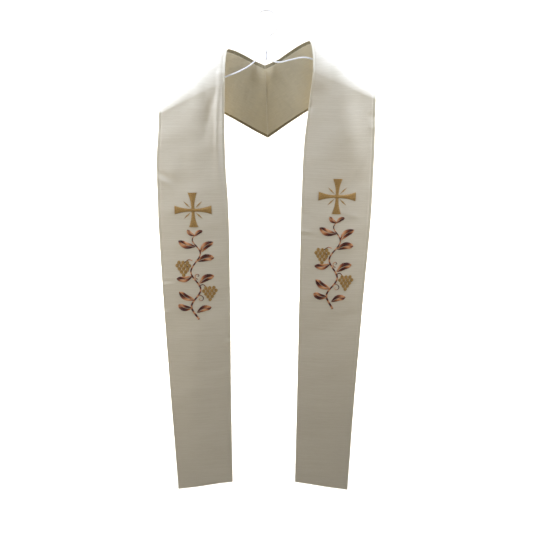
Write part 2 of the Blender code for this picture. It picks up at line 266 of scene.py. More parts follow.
def bend_profile(angle, half_depth, rise):
    """The bend's cross-section: depth is a pinched cosine of the angle, height a pinched sine.

    Returns depth, height, the share of the way round along the cloth, and the whole length.
    """
    turns = np.linspace(0.0, np.pi, 121)
    depth = np.sign(np.cos(turns)) * np.abs(np.cos(turns)) ** PINCH
    height = np.abs(np.sin(turns)) ** PINCH
    steps = np.hypot(half_depth[..., None] * np.diff(depth), rise[..., None] * np.diff(height))
    lengths = np.concatenate([np.zeros_like(steps[..., :1]), steps.cumsum(-1)], -1)
    place = angle / np.pi * (len(turns) - 1)
    below = np.clip(place.astype(int), 0, len(turns) - 2)
    start = np.take_along_axis(lengths, below[..., None], -1)[..., 0]
    end = np.take_along_axis(lengths, below[..., None] + 1, -1)[..., 0]
    whole = lengths[..., -1]
    share = (start + (end - start) * (place - below)) / whole
    pinched_depth = np.sign(np.cos(angle)) * np.abs(np.cos(angle)) ** PINCH
    return pinched_depth, np.abs(np.sin(angle)) ** PINCH, share, whole


def band_surface(side, along, across):
    """Plain form of a band, and how far down the cloth's grain each place is.

    along is 0 to 1 up the front, 1 to 2 over the shoulder and 2 to 3 to the seam; across is 0
    at the inner edge and 1 at the outer. Over the shoulder each line shifts inwards in step
    with its length and rises and falls by the bend's profile. Behind, it is a cubic curve
    from the bend's end to the seam, dented where the seam leans on the hanger's stem.
    """
    shape = SHOULDER[side]
    spring_drop = blend(shape.spring_drop, across)
    hem_drop = blend(HEM_DROP[side], across)
    front_drop = blend((hem_drop, spring_drop), np.clip(along, 0, 1))
    front = front_points(side, across, front_drop)

    spring = front_points(side, across, spring_drop)
    back_y = blend(shape.back_y, across)
    back = np.stack([blend(shape.back_x, across), back_y, -blend(shape.back_drop, across)], -1)
    shift = back - spring
    rise = blend(shape.rise, across)
    angle = np.clip(along - 1, 0, 1) * np.pi
    depth, height, share, length = bend_profile(angle, shift[..., 1] / 2, rise)
    lean_x = -shift[..., 0] * rise / length
    lift_z = -blend(shape.crown_drop, across) - spring[..., 2] - shift[..., 2] / 2
    bend = spring + shift * share[..., None]
    bend[..., 0] += lean_x * height
    bend[..., 1] = spring[..., 1] + shift[..., 1] / 2 * (1 - depth)
    bend[..., 2] += lift_z * height

    seam_line = blend((SEAM_TOP_X, SEAM_TIP_X), across)
    seam_drop = blend((SEAM_TOP_DROP, SEAM_TIP_DROP), across)
    seam = np.stack([seam_line, np.full_like(seam_line, SEAM_Y), -seam_drop], axis=-1)
    span = np.linalg.norm(seam - back, axis=-1, keepdims=True)
    fall = shift * (rise / length)[..., None]
    leave = np.stack([fall[..., 0] - lean_x, np.zeros_like(lean_x), fall[..., 2] - lift_z], -1)
    leave *= span / np.linalg.norm(leave, axis=-1, keepdims=True)
    slope = blend(SEAM_SLOPE[side], across)
    arrive = np.stack([np.full_like(slope, -side), np.zeros_like(slope), slope], -1)
    arrive *= span / np.linalg.norm(arrive, axis=-1, keepdims=True)
    t = np.clip(along - 2, 0, 1)[..., None]
    behind = (2 * t**3 - 3 * t**2 + 1) * back + (t**3 - 2 * t**2 + t) * leave
    behind += (3 * t**2 - 2 * t**3) * seam + (t**3 - t**2) * arrive
    from_seam = (behind[..., 0] - SEAM_TOP_X) / STEM_DENT_WIDTH
    below_neck = (behind[..., 2] + SEAM_TOP_DROP) / STEM_DENT_HEIGHT
    behind[..., 1] -= STEM_DENT * np.exp(-(from_seam**2) - below_neck**2) * t[..., 0]

    points = np.where((along <= 2)[..., None], bend, behind)
    points = np.where((along <= 1)[..., None], front, points)
    used = np.where(along <= 2, share * length, length + t[..., 0] * span[..., 0])
    down = np.where(along <= 1, front_drop, spring_drop - used)
    return points, down


def relief(side, across, down):
    """How far the cloth stands out of its plain form: a low parabola across the band in front,
    each crease a bell along and across its own line, and the slow waves. Near the hanger's arm
    it can't sink in."""
    from_inner = across * BAND_WIDTH
    above_arm = down - blend(SHOULDER[side].spring_drop, across) + ARM_ABOVE
    hanging = 1.0 - np.exp(-((np.maximum(above_arm, 0.0) / CROWN_START) ** 2))
    to_hem = blend(HEM_DROP[side], across) - down
    hanging *= 1.0 - CROWN_LOST_AT_HEM * np.exp(-((to_hem / HEM_REACH) ** 2))
    height = CROWN * hanging * (1.0 - (2.0 * across - 1.0) ** 2)
    for crease in CREASES[side]:
        turn = np.radians(crease.turn)
        below, beside = down - crease.down, from_inner - crease.across
        length = (below * np.cos(turn) + beside * np.sin(turn)) / crease.half_length
        width = (beside * np.cos(turn) - below * np.sin(turn)) / crease.half_width
        height += crease.height * np.exp(-(length**2) - width**2)
    for wave in WAVES:
        angle = down / wave.down + side * from_inner / wave.across
        height += wave.height * np.sin(2 * np.pi * angle + wave.phase + side)
    rest = 1.0 - np.exp(-((above_arm / ARM_REACH) ** 4))
    return np.where(height < 0, height * rest, height)


def cloth(side, along, across, sink=0.0):
    """Places on a band with its creases, sunk towards the hanger, the outward direction there
    and the distance down the grain."""
    step = 0.002
    points, down = band_surface(side, along, across)
    up = band_surface(side, np.minimum(along + step, 3.0), across)[0]
    up -= band_surface(side, np.maximum(along - step, 0.0), across)[0]
    over = band_surface(side, along, across + step)[0]
    over -= band_surface(side, along, across - step)[0]
    outward = np.cross(over, up) * side
    outward /= np.linalg.norm(outward, axis=-1, keepdims=True)
    height = relief(side, across, down) - sink
    return points + outward * height[..., None], outward, down


def edge_distance(side, across, down):
    """Distance from each place to the nearest turned edge: the least of those to the two sides
    and to the hem."""
    from_inner = across * BAND_WIDTH
    to_hem = blend(HEM_DROP[side], across) - down
    return np.minimum.reduce([from_inner, BAND_WIDTH - from_inner, to_hem])


def band_grid(side, inset):
    """Rows up the cloth and columns across it, closer where the edges turn over and at the seam."""
    turning = np.array(EDGE_STEPS_MM) / 1000
    middle = np.linspace(EVEN_FROM, BAND_WIDTH - EVEN_FROM, COLUMNS)
    columns = np.concatenate([turning, middle, BAND_WIDTH - turning[::-1]]) / BAND_WIDTH
    length = HEM_DROP[side][0] - SHOULDER[side].spring_drop[0]
    front = np.concatenate([turning, np.linspace(EVEN_FROM, length, FRONT_ROWS)[:-1]]) / length
    bend = np.linspace(1, 2, BEND_ROWS, endpoint=False)
    back = np.concatenate([np.linspace(2, SEAM_STEPS[0], BACK_ROWS), SEAM_STEPS[1:]])
    margin = inset / BAND_WIDTH
    rows = np.concatenate([front, bend, back])
    rows = inset / length + rows * (3.0 - inset / length) / 3.0
    columns = margin + columns * (1 - 2 * margin)
    return np.meshgrid(rows, columns, indexing="ij")


def closed_sheet(name, side, outer, inner, down, across, turning):
    """A closed sheet of cloth: an outer and an inner grid, joined round their rims. Its UV map
    is in metres, across the cloth and up it; its inner side takes the second material."""
    rows, columns = outer.shape[:2]
    count = rows * columns
    index = np.arange(count).reshape(rows, columns)
    quads = np.stack([index[:-1, :-1], index[:-1, 1:], index[1:, 1:], index[1:, :-1]], -1)
    quads = quads.reshape(-1, 4)
    loop = np.concatenate([index[0, :-1], index[:-1, -1], index[-1, :0:-1], index[:0:-1, 0]])
    after = np.roll(loop, -1)
    rim = np.stack([after, loop, loop + count, after + count], -1)
    quads = np.concatenate([quads, quads[:, ::-1] + count, rim])
    if side == LEFT:
        quads = quads[:, ::-1]
    points = np.concatenate([outer.reshape(-1, 3), inner.reshape(-1, 3)])
    mesh = bpy.data.meshes.new(name)
    mesh.from_pydata(points.tolist(), [], quads.tolist())
    mesh.shade_smooth()
    uv = np.stack([across * BAND_WIDTH, -down], -1).reshape(-1, 2)
    uv = np.concatenate([uv, uv])[quads.reshape(-1)]
    mesh.uv_layers.new(name="cloth").data.foreach_set("uv", uv.reshape(-1).astype(np.float32))
    turned = np.tile(turning.reshape(-1), 2).astype(np.float32)
    mesh.attributes.new("turning", "FLOAT", "POINT").data.foreach_set("value", turned)
    inside = np.zeros(len(quads), dtype=np.int32)
    inside[(rows - 1) * (columns - 1) : 2 * (rows - 1) * (columns - 1)] = 1
    mesh.polygons.foreach_set("material_index", inside)
    obj = bpy.data.objects.new(name, mesh)
    bpy.context.scene.collection.objects.link(obj)
    return obj


def seam_edge(points, side):
    """The last row of a band, drawn to the seam's own line with half the gap left."""
    share = (-points[-1, :, 2] - SEAM_TOP_DROP) / (SEAM_TIP_DROP - SEAM_TOP_DROP)
    points[-1, :, 0] = blend((SEAM_TOP_X, SEAM_TIP_X), share) + side * SEAM_GAP / 2


def rounded(distance, radius):
    """How far a turned edge curves in: a quarter circle flattened to ROUND_DEPTH of its radius."""
    short = np.clip(1.0 - distance / radius, 0.0, 1.0)
    return radius * ROUND_DEPTH * (1.0 - np.sqrt(1.0 - short**2))


def make_sheet(name, side, inset, depth, wall, grooved):
    """A band's sheet: its outer and inner sides a wall apart, closing in a round at the edges, with
    a bell-shaped groove along the turning where it is grooved."""
    along, across = band_grid(side, inset)
    plain, outward, down = cloth(side, along, across, depth)
    distance = edge_distance(side, across, down) - inset
    turn = rounded(distance, wall / 2)
    groove = (distance - TURNING_WIDTH) / TURNING_GROOVE_WIDTH
    groove = grooved * TURNING_GROOVE * np.exp(-(groove**2)) * (along < GROOVE_END)
    outer = plain - outward * (turn + groove)[..., None]
    inner = plain - outward * (wall - turn)[..., None]
    seam_edge(outer, side)
    seam_edge(inner, side)
    # turning marks the turned edges, which the materials darken as painted shade.
    turning = np.exp(-((distance / TURNING_WIDTH) ** 4))
    return closed_sheet(name, side, outer, inner, down, across, turning)


def linear(code):
    """An sRGB hex colour as linear red, green, blue and alpha."""
    values = np.array([int(code[place : place + 2], 16) for place in (1, 3, 5)]) / 255
    curve = np.where(values <= 0.04045, values / 12.92, ((values + 0.055) / 1.055) ** 2.4)
    return (*curve.tolist(), 1.0)


def add_node(tree, kind, inputs=None, **settings):
    """Adds a node with its settings; inputs maps a socket to its value or to what feeds it."""
    node = tree.nodes.new(kind)
    for name, value in settings.items():
        setattr(node, name, value)
    for socket, value in (inputs or {}).items():
        if isinstance(value, bpy.types.NodeSocket):
            tree.links.new(value, node.inputs[socket])
        else:
            node.inputs[socket].default_value = value
    return node


def new_material(name):
    """An empty material and its node tree."""
    material = bpy.data.materials.new(name)
    material.use_nodes = True
    material.node_tree.nodes.clear()
    return material, material.node_tree


def mix_colours(tree, share, first, second):
    """The colour at a share of the way from the first to the second; each may be a socket."""
    inputs = {"Factor": share, 6: first, 7: second}
    return add_node(tree, "ShaderNodeMix", inputs, data_type="RGBA").outputs[2]


def add_bump(tree, height, strength, depth, **others):
    """The surface's direction where a height from nought to one lifts it by a depth in metres."""
    inputs = {"Height": height, "Strength": strength, "Distance": depth, **others}
    return add_node(tree, "ShaderNodeBump", inputs).outputs[0]


def add_surface(tree, inputs):
    """The material's surface with these inputs, led to its output."""
    shader = add_node(tree, "ShaderNodeBsdfPrincipled", inputs)
    add_node(tree, "ShaderNodeOutputMaterial", {"Surface": shader.outputs[0]})


def cloth_noise(tree, across, down, detail, roughness=0.5):
    """Noise over the cloth, of about so many spots a metre across the band and down it."""
    place = add_node(tree, "ShaderNodeUVMap", uv_map="cloth").outputs["UV"]
    spots = add_node(tree, "ShaderNodeMapping", {"Vector": place, "Scale": (across, down, 1)})
    inputs = {"Vector": spots.outputs[0], "Scale": 1.0, "Detail": detail, "Roughness": roughness}
    return add_node(tree, "ShaderNodeTexNoise", inputs).outputs[0]


# Ivory faille: a silk-like woven cloth with crosswise ribs and some thicker threads, which give
# it a soft, streaky sheen. Real ribs are 0.5 mm apart, too fine to show. They are drawn 1.1 mm
# apart, under streaks 4.5 mm apart, which is what the eye sees from a step away. The turned edges
# are two cloths thick, and a darker colour on them is painted shade. The wrong side is painted
# darker and browner, as shade.
RIB_SPACING = 0.0011
STREAK_SPACING = 0.0045
STREAKS_ACROSS = 9
SLUBS_ACROSS, SLUBS_DOWN = 60, 900
BAND_SHARE = 0.14
TURNING_SHADE_SHARE = 0.55
# A Wave node's scale for bands that are one metre apart. It is divided by the spacing.
ONE_METRE_BANDS = 0.314
# The edge colour is painted shade for the turned edges.
IVORY_LIGHT, IVORY_DEEP, IVORY_EDGE_SHADE = "#E0D8C3", "#D7CEB7", "#D9D1B8"


def cloth_bands(tree, spacing, distortion):
    """Bands across the cloth at a spacing in metres, a little wavy."""
    inputs = {
        "Vector": add_node(tree, "ShaderNodeUVMap", uv_map="cloth").outputs["UV"],
        "Scale": ONE_METRE_BANDS / spacing,
        "Distortion": distortion,
        "Detail": 1.0,
    }
    node = add_node(tree, "ShaderNodeTexWave", inputs, wave_type="BANDS", bands_direction="Y")
    return node.outputs[1]


def faille_material(name, light, deep, edge):
    """Ribbed cloth in two tones along its streaks, and at its turned edges a third, darker colour
    as painted shade.
    """
    material, tree = new_material(name)
    streaks = cloth_noise(tree, STREAKS_ACROSS, 1 / STREAK_SPACING, 2.0, 0.6)
    slubs = cloth_noise(tree, SLUBS_ACROSS, SLUBS_DOWN, 3.0)
    threads = add_node(tree, "ShaderNodeMath", {0: streaks, 1: slubs}, operation="ADD").outputs[0]
    inputs = {0: cloth_bands(tree, STREAK_SPACING, 1.2), 1: BAND_SHARE, 2: threads}
    mixed = add_node(tree, "ShaderNodeMath", inputs, operation="MULTIPLY_ADD").outputs[0]
    inputs = {"Value": mixed, "From Min": 0.76, "From Max": 1.38}
    tone = add_node(tree, "ShaderNodeMapRange", inputs).outputs[0]
    streaky = mix_colours(tree, tone, linear(deep), linear(light))
    # The turned edges are mixed towards the edge colour: painted shade where the edge rolls back.
    turning = add_node(tree, "ShaderNodeAttribute", attribute_name="turning").outputs["Fac"]
    inputs = {0: turning, 1: TURNING_SHADE_SHARE}
    turned_edge_shade = add_node(tree, "ShaderNodeMath", inputs, operation="MULTIPLY").outputs[0]
    inputs = {"Value": mixed, "From Min": 0.7, "From Max": 1.5, "To Min": 0.6, "To Max": 0.42}
    gloss = add_node(tree, "ShaderNodeMapRange", inputs).outputs[0]
    rib_bump = add_bump(tree, cloth_bands(tree, RIB_SPACING, 1.6), 0.35, 0.00025)
    surface = {
        "Base Color": mix_colours(tree, turned_edge_shade, streaky, linear(edge)),
        "Roughness": gloss,
        "Normal": add_bump(tree, mixed, 0.4, 0.0004, Normal=rib_bump),
        "Sheen Weight": 0.2,
        "Sheen Roughness": 0.4,
        "Specular IOR Level": 0.45,
    }
    add_surface(tree, surface)
    return material


faille = faille_material("ivory ribbed faille", IVORY_LIGHT, IVORY_DEEP, IVORY_EDGE_SHADE)
# The wrong side's darker, browner colours are painted shade: it is the same ivory cloth, coloured
# as it looks in shadow behind the lining.
SHADED_WRONG_LIGHT, SHADED_WRONG_DEEP, SHADED_WRONG_EDGE = "#A69A78", "#8D8262", "#8F8466"
wrong_side_shade = faille_material("ivory faille, wrong side in painted shade", SHADED_WRONG_LIGHT, SHADED_WRONG_DEEP, SHADED_WRONG_EDGE)

for side in (LEFT, RIGHT):
    band = make_sheet(f"face_{NAMES[side]}", side, 0.0, 0.0, FACE_WALL, 1.0)
    band.data.materials.append(faille)
    band.data.materials.append(wrong_side_shade)
    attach(band, "root")
    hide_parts(f"strip_{NAMES[side]}")


# The linings. Plain ivory satin lining, cut smaller than the face and slip-stitched to its
# turned edges, so that a narrow border of face cloth shows all round it. Its threads run down the
# band and it puckers a little, which gives a soft, faintly uneven gloss.
LINING_WALL = 0.0010
LINING_INSET = 0.007
LINING_LIGHT, LINING_DEEP = "#DDD1B0", "#C5B998"
WARP_ACROSS, WARP_DOWN = 700, 60
PUCKERS_ACROSS, PUCKERS_DOWN = 40, 90
lining_satin, tree = new_material("ivory lining satin")
warp = cloth_noise(tree, WARP_ACROSS, WARP_DOWN, 2.0)
puckers = cloth_noise(tree, PUCKERS_ACROSS, PUCKERS_DOWN, 1.0)
pucker_bump = add_bump(tree, puckers, 0.4, 0.0015)
surface = {
    "Base Color": mix_colours(tree, warp, linear(LINING_DEEP), linear(LINING_LIGHT)),
    "Roughness": 0.5,
    "Normal": add_bump(tree, warp, 0.3, 0.0002, Normal=pucker_bump),
    "Sheen Weight": 0.15,
    "Specular IOR Level": 0.45,
}
add_surface(tree, surface)

for side in (LEFT, RIGHT):
    depth = FACE_WALL + SEAM_GAP
    lining = make_sheet(f"lining_{NAMES[side]}_cloth", side, LINING_INSET, depth, LINING_WALL, 0.0)
    lining.data.materials.append(lining_satin)
    lining.data.materials.append(lining_satin)
    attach(lining, "root")
    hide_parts(f"lining_{NAMES[side]}")


# The hanger. White plastic-coated steel wire, bent to two bowed arms. The ends are twisted
# together at the neck, and one goes on up into the open hook. The coating is smooth and bright,
# a little uneven where it set.
WIRE_RADIUS = 0.0015
WIRE_SIDES, WIRE_TAPER, WIRE_STEPS = 16, 0.25, 90
TWIST_TOP_DROP, TWIST_BOTTOM_DROP = 0.0725, 0.0895
TWIST_TURNS = 2.6
TWIST_RADIUS = 0.0018
TWIST_STEPS = 120
HOOK_INNER_RADIUS = 0.021
HOOK_START_ANGLE, HOOK_END_ANGLE = -50, 205
STEM_FOOT_DROP, STEM_TOP_DROP = 0.072, 0.060
SWING_PULL = 0.011
ArmPoint = namedtuple("ArmPoint", "x drop y")
ARMS = {
    LEFT: (
        ArmPoint(-0.0052, 0.0830, 0.0000),
        ArmPoint(-0.0200, 0.0885, -0.0060),
        ArmPoint(-0.0350, 0.0988, -0.0130),
        ArmPoint(-0.0520, 0.1074, -0.0200),
        ArmPoint(-0.0820, 0.1185, -0.0262),
        ArmPoint(-0.1200, 0.1340, -0.0280),
        ArmPoint(-0.1650, 0.1535, -0.0275),
        ArmPoint(-0.2050, 0.1720, -0.0249),
    ),
    RIGHT: (
        ArmPoint(0.0052, 0.0870, 0.0000),
        ArmPoint(0.0148, 0.0912, -0.0045),
        ArmPoint(0.0275, 0.0922, -0.0100),
        ArmPoint(0.0440, 0.0882, -0.0165),
        ArmPoint(0.0780, 0.0828, -0.0236),
        ArmPoint(0.0940, 0.0865, -0.0244),
        ArmPoint(0.1400, 0.1060, -0.0224),
        ArmPoint(0.2050, 0.1400, -0.0208),
    ),
}


def fine_noise(tree, scale, detail):
    """Noise all through an object, of about so many spots a metre."""
    place = add_node(tree, "ShaderNodeTexCoord").outputs["Object"]
    inputs = {"Vector": place, "Scale": scale, "Detail": detail}
    return add_node(tree, "ShaderNodeTexNoise", inputs).outputs[0]


coating, tree = new_material("white plastic coating on wire")
uneven = fine_noise(tree, 260.0, 2.0)
dulling = {"Value": uneven, "To Min": 0.26, "To Max": 0.40}
surface = {
    "Base Color": linear("#F3F3F0"),
    "Roughness": add_node(tree, "ShaderNodeMapRange", dulling).outputs[0],
    "Normal": add_bump(tree, uneven, 0.25, 0.0003),
    "Specular IOR Level": 0.5,
}
add_surface(tree, surface)


def rods(paths, hint, wide, high, sides, taper=0.0):
    """Vertices and faces of many closed rods at once: an ellipse of the two radii, stood across
    each path and turned so that its height follows the hint, thinning towards both ends."""
    count, steps = paths.shape[:2]
    ahead = np.gradient(paths, axis=1)
    ahead /= np.linalg.norm(ahead, axis=-1, keepdims=True)
    beside = np.cross(ahead, hint)
    beside /= np.linalg.norm(beside, axis=-1, keepdims=True)
    up = np.cross(beside, ahead)
    share = np.linspace(-1.0, 1.0, steps)
    full = (1.0 - taper * np.abs(share) ** 4)[None, :, None, None]
    angle = np.linspace(0.0, 2 * np.pi, sides, endpoint=False)
    ring = np.cos(angle)[:, None] * beside[:, :, None] * wide
    ring = ring + np.sin(angle)[:, None] * up[:, :, None] * high
    points = paths[:, :, None] + ring * full
    index = np.arange(count * steps * sides).reshape(count, steps, sides)
    turned = np.roll(index, -1, axis=2)
    walls = np.stack([index[:, :-1], index[:, 1:], turned[:, 1:], turned[:, :-1]], -1)
    start, end = index[:, 0], index[:, -1, ::-1]
    return points.reshape(-1, 3), walls.reshape(-1, 4), np.concatenate([start, end])


def rod_object(name, material, *groups):
    """One object of several groups of rods."""
    points, faces, base = [], [], 0
    for group_points, walls, caps in groups:
        points += group_points.tolist()
        faces += (walls + base).tolist() + (caps + base).tolist()
        base += len(group_points)
    mesh = bpy.data.meshes.new(name)
    mesh.from_pydata(points, [], faces)
    mesh.shade_smooth()
    mesh.materials.append(material)
    obj = bpy.data.objects.new(name, mesh)
    bpy.context.scene.collection.objects.link(obj)
    return obj


def wire(path):
    """A round wire along a path, ready for rod_object. The hint is across the hook's plane."""
    path = np.asarray(path)[None]
    hint = np.broadcast_to((0.0, 1.0, 0.0), path.shape)
    return rods(path, hint, WIRE_RADIUS, WIRE_RADIUS, WIRE_SIDES, WIRE_TAPER)


for side in (LEFT, RIGHT):
    rows = ARMS[side]
    stops = [side * row.x for row in rows]
    at = np.linspace(stops[0], stops[-1], WIRE_STEPS)
    drop = smooth_table(stops, [row.drop for row in rows], at)
    depth = smooth_table(stops, [row.y for row in rows], at)
    path = np.stack([side * at, depth, -drop], -1)
    arm = rod_object(f"wire_arm_{NAMES[side]}", coating, wire(path))
    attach(arm, "root")
    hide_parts(f"hanger_arm_{NAMES[side]}")

turn = np.linspace(0.0, 2 * np.pi * TWIST_TURNS, TWIST_STEPS)
fall = -np.linspace(TWIST_TOP_DROP, TWIST_BOTTOM_DROP, TWIST_STEPS)
strands = [
    np.stack([TWIST_RADIUS * np.cos(turn + half), TWIST_RADIUS * np.sin(turn + half), fall], -1)
    for half in (0.0, np.pi)
]
twist = rod_object("wire_twist", coating, *[wire(strand) for strand in strands])
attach(twist, "root")
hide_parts("hanger_neck")

# The hook: its straight stem rises from the twist, swings over in a cubic curve, its ends pulled
# along the stem and along the ring, and goes on round the open ring.
angle = np.radians(np.linspace(HOOK_START_ANGLE, HOOK_END_ANGLE, WIRE_STEPS))[:, None]
ring = np.concatenate([np.cos(angle), np.zeros_like(angle), np.sin(angle)], -1)
ring = (0.0, 0.0, -HOOK_INNER_RADIUS) + ring * (HOOK_INNER_RADIUS + WIRE_RADIUS)
leading = np.array([-np.sin(angle[0, 0]), 0.0, np.cos(angle[0, 0])])
stem = np.linspace((0.0, 0.0, -STEM_FOOT_DROP), (0.0, 0.0, -STEM_TOP_DROP), 12)
step = np.linspace(0.0, 1.0, 30)[1:-1, None]
swing = (1 - step) ** 3 * stem[-1] + step**3 * ring[0]
swing += 3 * (1 - step) ** 2 * step * (stem[-1] + (0.0, 0.0, SWING_PULL))
swing += 3 * (1 - step) * step**2 * (ring[0] - leading * SWING_PULL)
hook = rod_object("wire_hook", coating, wire(np.concatenate([stem, swing, ring])))
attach(hook, "root")
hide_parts("hanger_hook")


# The embroidery, the same on both bands: a gold cross with flared arms in a ring of rays, and
# under it a copper vine with leaves, grapes and tendrils. It is satin stitch, each motif
# filled with threads laid side by side across it and padded so that it stands up.
THREAD_SPACING = 0.00056
THREAD_WIDE, THREAD_HIGH = 0.00036, 0.00026
THREAD_STEPS, THREAD_SIDES, THREAD_TAPER = 6, 4, 0.5
THREAD_LIFT = 0.0001
PADDING = 0.0007
# Short threads arch by this share of their length, up to the padding's height.
ARCH_SHARE = 0.16
MOTIF_DROP = {LEFT: 0.500, RIGHT: 0.470}
# The dye turns over faster from thread to thread along stems, which are the parts of more threads
# than LONG_PART, than along leaves. Each part starts at a turn of its own.
LONG_PART = 90
STEM_DRIFT, LEAF_DRIFT, PART_DRIFT = 0.21, 0.10, 1.9


def even_path(points, spacing):
    """A smooth path through the points, resampled at even spacing: Catmull-Rom curves."""
    points = np.asarray(points, float)
    stops = np.arange(len(points), dtype=float)
    fine = np.linspace(0, stops[-1], 40 * len(points))
    curve = np.stack([smooth_table(stops, points[:, axis], fine) for axis in (0, 1)], -1)
    length = np.concatenate([[0], np.linalg.norm(np.diff(curve, axis=0), axis=1).cumsum()])
    at = np.linspace(0, length[-1], max(int(length[-1] / spacing), 3))
    return np.stack([np.interp(at, length, curve[:, axis]) for axis in (0, 1)], -1)


def satin(points, widths, lean=0.0, halves=(-1.0, 1.0)):
    """Threads across a path: each starts and ends half a width to its sides, the width read
    from the table along the path, and leans forward by a share of that half width."""
    path = even_path(points, THREAD_SPACING)
    ahead = np.gradient(path, axis=0)
    ahead /= np.linalg.norm(ahead, axis=1, keepdims=True)
    aside = np.stack([-ahead[:, 1], ahead[:, 0]], -1)
    share = np.linspace(0, 1, len(path))
    half = np.interp(share, np.linspace(0, 1, len(widths)), widths)[:, None] / 2
    ends = [path + half * (aside * to_side + ahead * lean * abs(to_side)) for to_side in halves]
    return ends[0], ends[1], share


def leaf(stem, tip, width):
    """A leaf: two slanted satin halves that meet on a bowed midrib from its stem to its tip. Its
    width is a sine along the midrib, drawn towards the stem."""
    stem, tip = np.array(stem), np.array(tip)
    along = tip - stem
    bow = np.array([-along[1], along[0]]) * 0.10
    rib = [stem, stem + along * 0.5 + bow, tip]
    widths = width * np.sin(np.pi * np.linspace(0.02, 1, 9) ** 0.75) ** 0.85 + 0.0006
    return [satin(rib, widths, 0.9, (0.06, 1.0)), satin(rib, widths, 0.9, (-1.0, -0.06))]


def grapes(top, rows, size):
    """A bunch of grapes: rows of satin dots that touch, with chords of a circle for threads."""
    dots = []
    for row, count in enumerate(rows):
        for place in range(count):
            x = top[0] + (place - (count - 1) / 2) * size
            y = top[1] - row * size * 0.86
            chord = size * 0.92 * np.sqrt(1.0 - np.linspace(-0.94, 0.94, 7) ** 2)
            dots.append(satin([(x, y - size / 2), (x, y), (x, y + size / 2)], chord))
    return dots


def tendril(start, heading, turns, size):
    """A tendril: a narrow line of stitches on a spiral, each step turned a little more and
    shorter than the last."""
    share = np.linspace(0, 1, 14)
    angle = heading + turns * 2 * np.pi * share**1.15
    steps = np.stack([np.cos(angle), np.sin(angle)], -1) * size * (1.05 - share)[:, None]
    return satin(np.cumsum(steps, axis=0) + start, [0.0020, 0.0018, 0.0014], 0.5)


CROSS_CENTRE = np.array([0.0, 0.108])
ARM_LENGTH = 0.039
ARM_WIDTHS = (0.0065, 0.0075, 0.010, 0.0145, 0.0205)
HUB_REACH = 0.0045
RAY_STOPS = (0.009, 0.017, 0.027)
RAY_WIDTHS = (0.0006, 0.0034, 0.0006)
gold_parts = []
for quarter in range(4):
    heading = np.radians(90 * quarter)
    out = np.array([np.cos(heading), np.sin(heading)])
    path = [CROSS_CENTRE + out * stop for stop in (HUB_REACH, ARM_LENGTH / 2, ARM_LENGTH)]
    gold_parts.append(satin(path, ARM_WIDTHS))
    ray = np.array([np.cos(heading + np.pi / 4), np.sin(heading + np.pi / 4)])
    path = [CROSS_CENTRE + ray * stop for stop in RAY_STOPS]
    gold_parts.append(satin(path, RAY_WIDTHS))
hub = [CROSS_CENTRE + (step, 0.0) for step in (-HUB_REACH, 0.0, HUB_REACH)]
gold_parts.append(satin(hub, (2 * HUB_REACH, 2 * HUB_REACH)))
BUNCH_ROWS, GRAPE_SIZE = (3, 4, 3, 2, 1), 0.0090
for bunch_top in ((-0.026, -0.017), (0.030, -0.083)):
    gold_parts += grapes(bunch_top, BUNCH_ROWS, GRAPE_SIZE)

VINE = (
    (0.004, -0.168),
    (-0.012, -0.130),
    (0.010, -0.086),
    (-0.010, -0.040),
    (0.012, 0.004),
    (-0.004, 0.036),
    (0.004, 0.052),
)
VINE_WIDTHS = (0.0046, 0.0040, 0.0036, 0.0032, 0.0028, 0.0020)
copper_parts = [satin(VINE, VINE_WIDTHS, 0.6)]
Leaf = namedtuple("Leaf", "stem_x stem_y tip_x tip_y width")
for row in (
    Leaf(-0.010, -0.136, -0.042, -0.128, 0.017),
    Leaf(-0.004, -0.114, -0.038, -0.092, 0.016),
    Leaf(0.000, -0.148, 0.032, -0.136, 0.016),
    Leaf(0.008, -0.070, 0.040, -0.052, 0.017),
    Leaf(-0.008, -0.052, -0.042, -0.058, 0.015),
    Leaf(0.006, -0.014, 0.041, -0.006, 0.017),
    Leaf(0.012, 0.008, 0.040, 0.032, 0.015),
    Leaf(0.002, 0.022, -0.034, 0.036, 0.016),
    Leaf(0.002, 0.048, 0.018, 0.060, 0.009),
    Leaf(0.002, 0.048, -0.014, 0.062, 0.009),
):
    copper_parts += leaf((row.stem_x, row.stem_y), (row.tip_x, row.tip_y), row.width)
copper_parts.append(tendril((-0.002, -0.104), 0.4, -1.15, 0.0052))
copper_parts.append(tendril((-0.006, -0.030), 2.6, 1.1, 0.0050))
copper_parts.append(tendril((0.009, -0.060), 3.0, -1.1, 0.0040))
BUNCH_STALKS = (
    ((-0.006, -0.012), (-0.014, -0.010), (-0.024, -0.018)),
    ((0.006, -0.078), (0.016, -0.074), (0.026, -0.086)),
)
for stalk in BUNCH_STALKS:
    copper_parts.append(satin(stalk, (0.0022, 0.0018)))

# Gold metallic thread: foil wound on a core, so it glints a little and is flecked along its length.
gold_thread, tree = new_material("gold metallic embroidery thread")
foil = mix_colours(tree, fine_noise(tree, 420.0, 2.0), linear("#94703A"), linear("#D9B474"))
add_surface(tree, {"Base Color": foil, "Metallic": 0.2, "Roughness": 0.42})

# Variegated rayon: the dye runs from dark brown to pale copper along the thread, so the tone
# drifts along each motif. Rayon is glossy.
copper_thread, tree = new_material("variegated copper rayon thread")
dye = add_node(tree, "ShaderNodeAttribute", attribute_name="dye").outputs["Fac"]
ramp = add_node(tree, "ShaderNodeValToRGB", {"Fac": dye})
ramp.color_ramp.elements[0].color = linear("#45180F")
ramp.color_ramp.elements[1].color = linear("#DBA577")
for stop, code in ((0.42, "#824325"), (0.75, "#BF7C4E")):
    ramp.color_ramp.elements.new(stop).color = linear(code)
surface = {"Base Color": ramp.outputs[0], "Roughness": 0.38, "Specular IOR Level": 0.6}
add_surface(tree, surface)


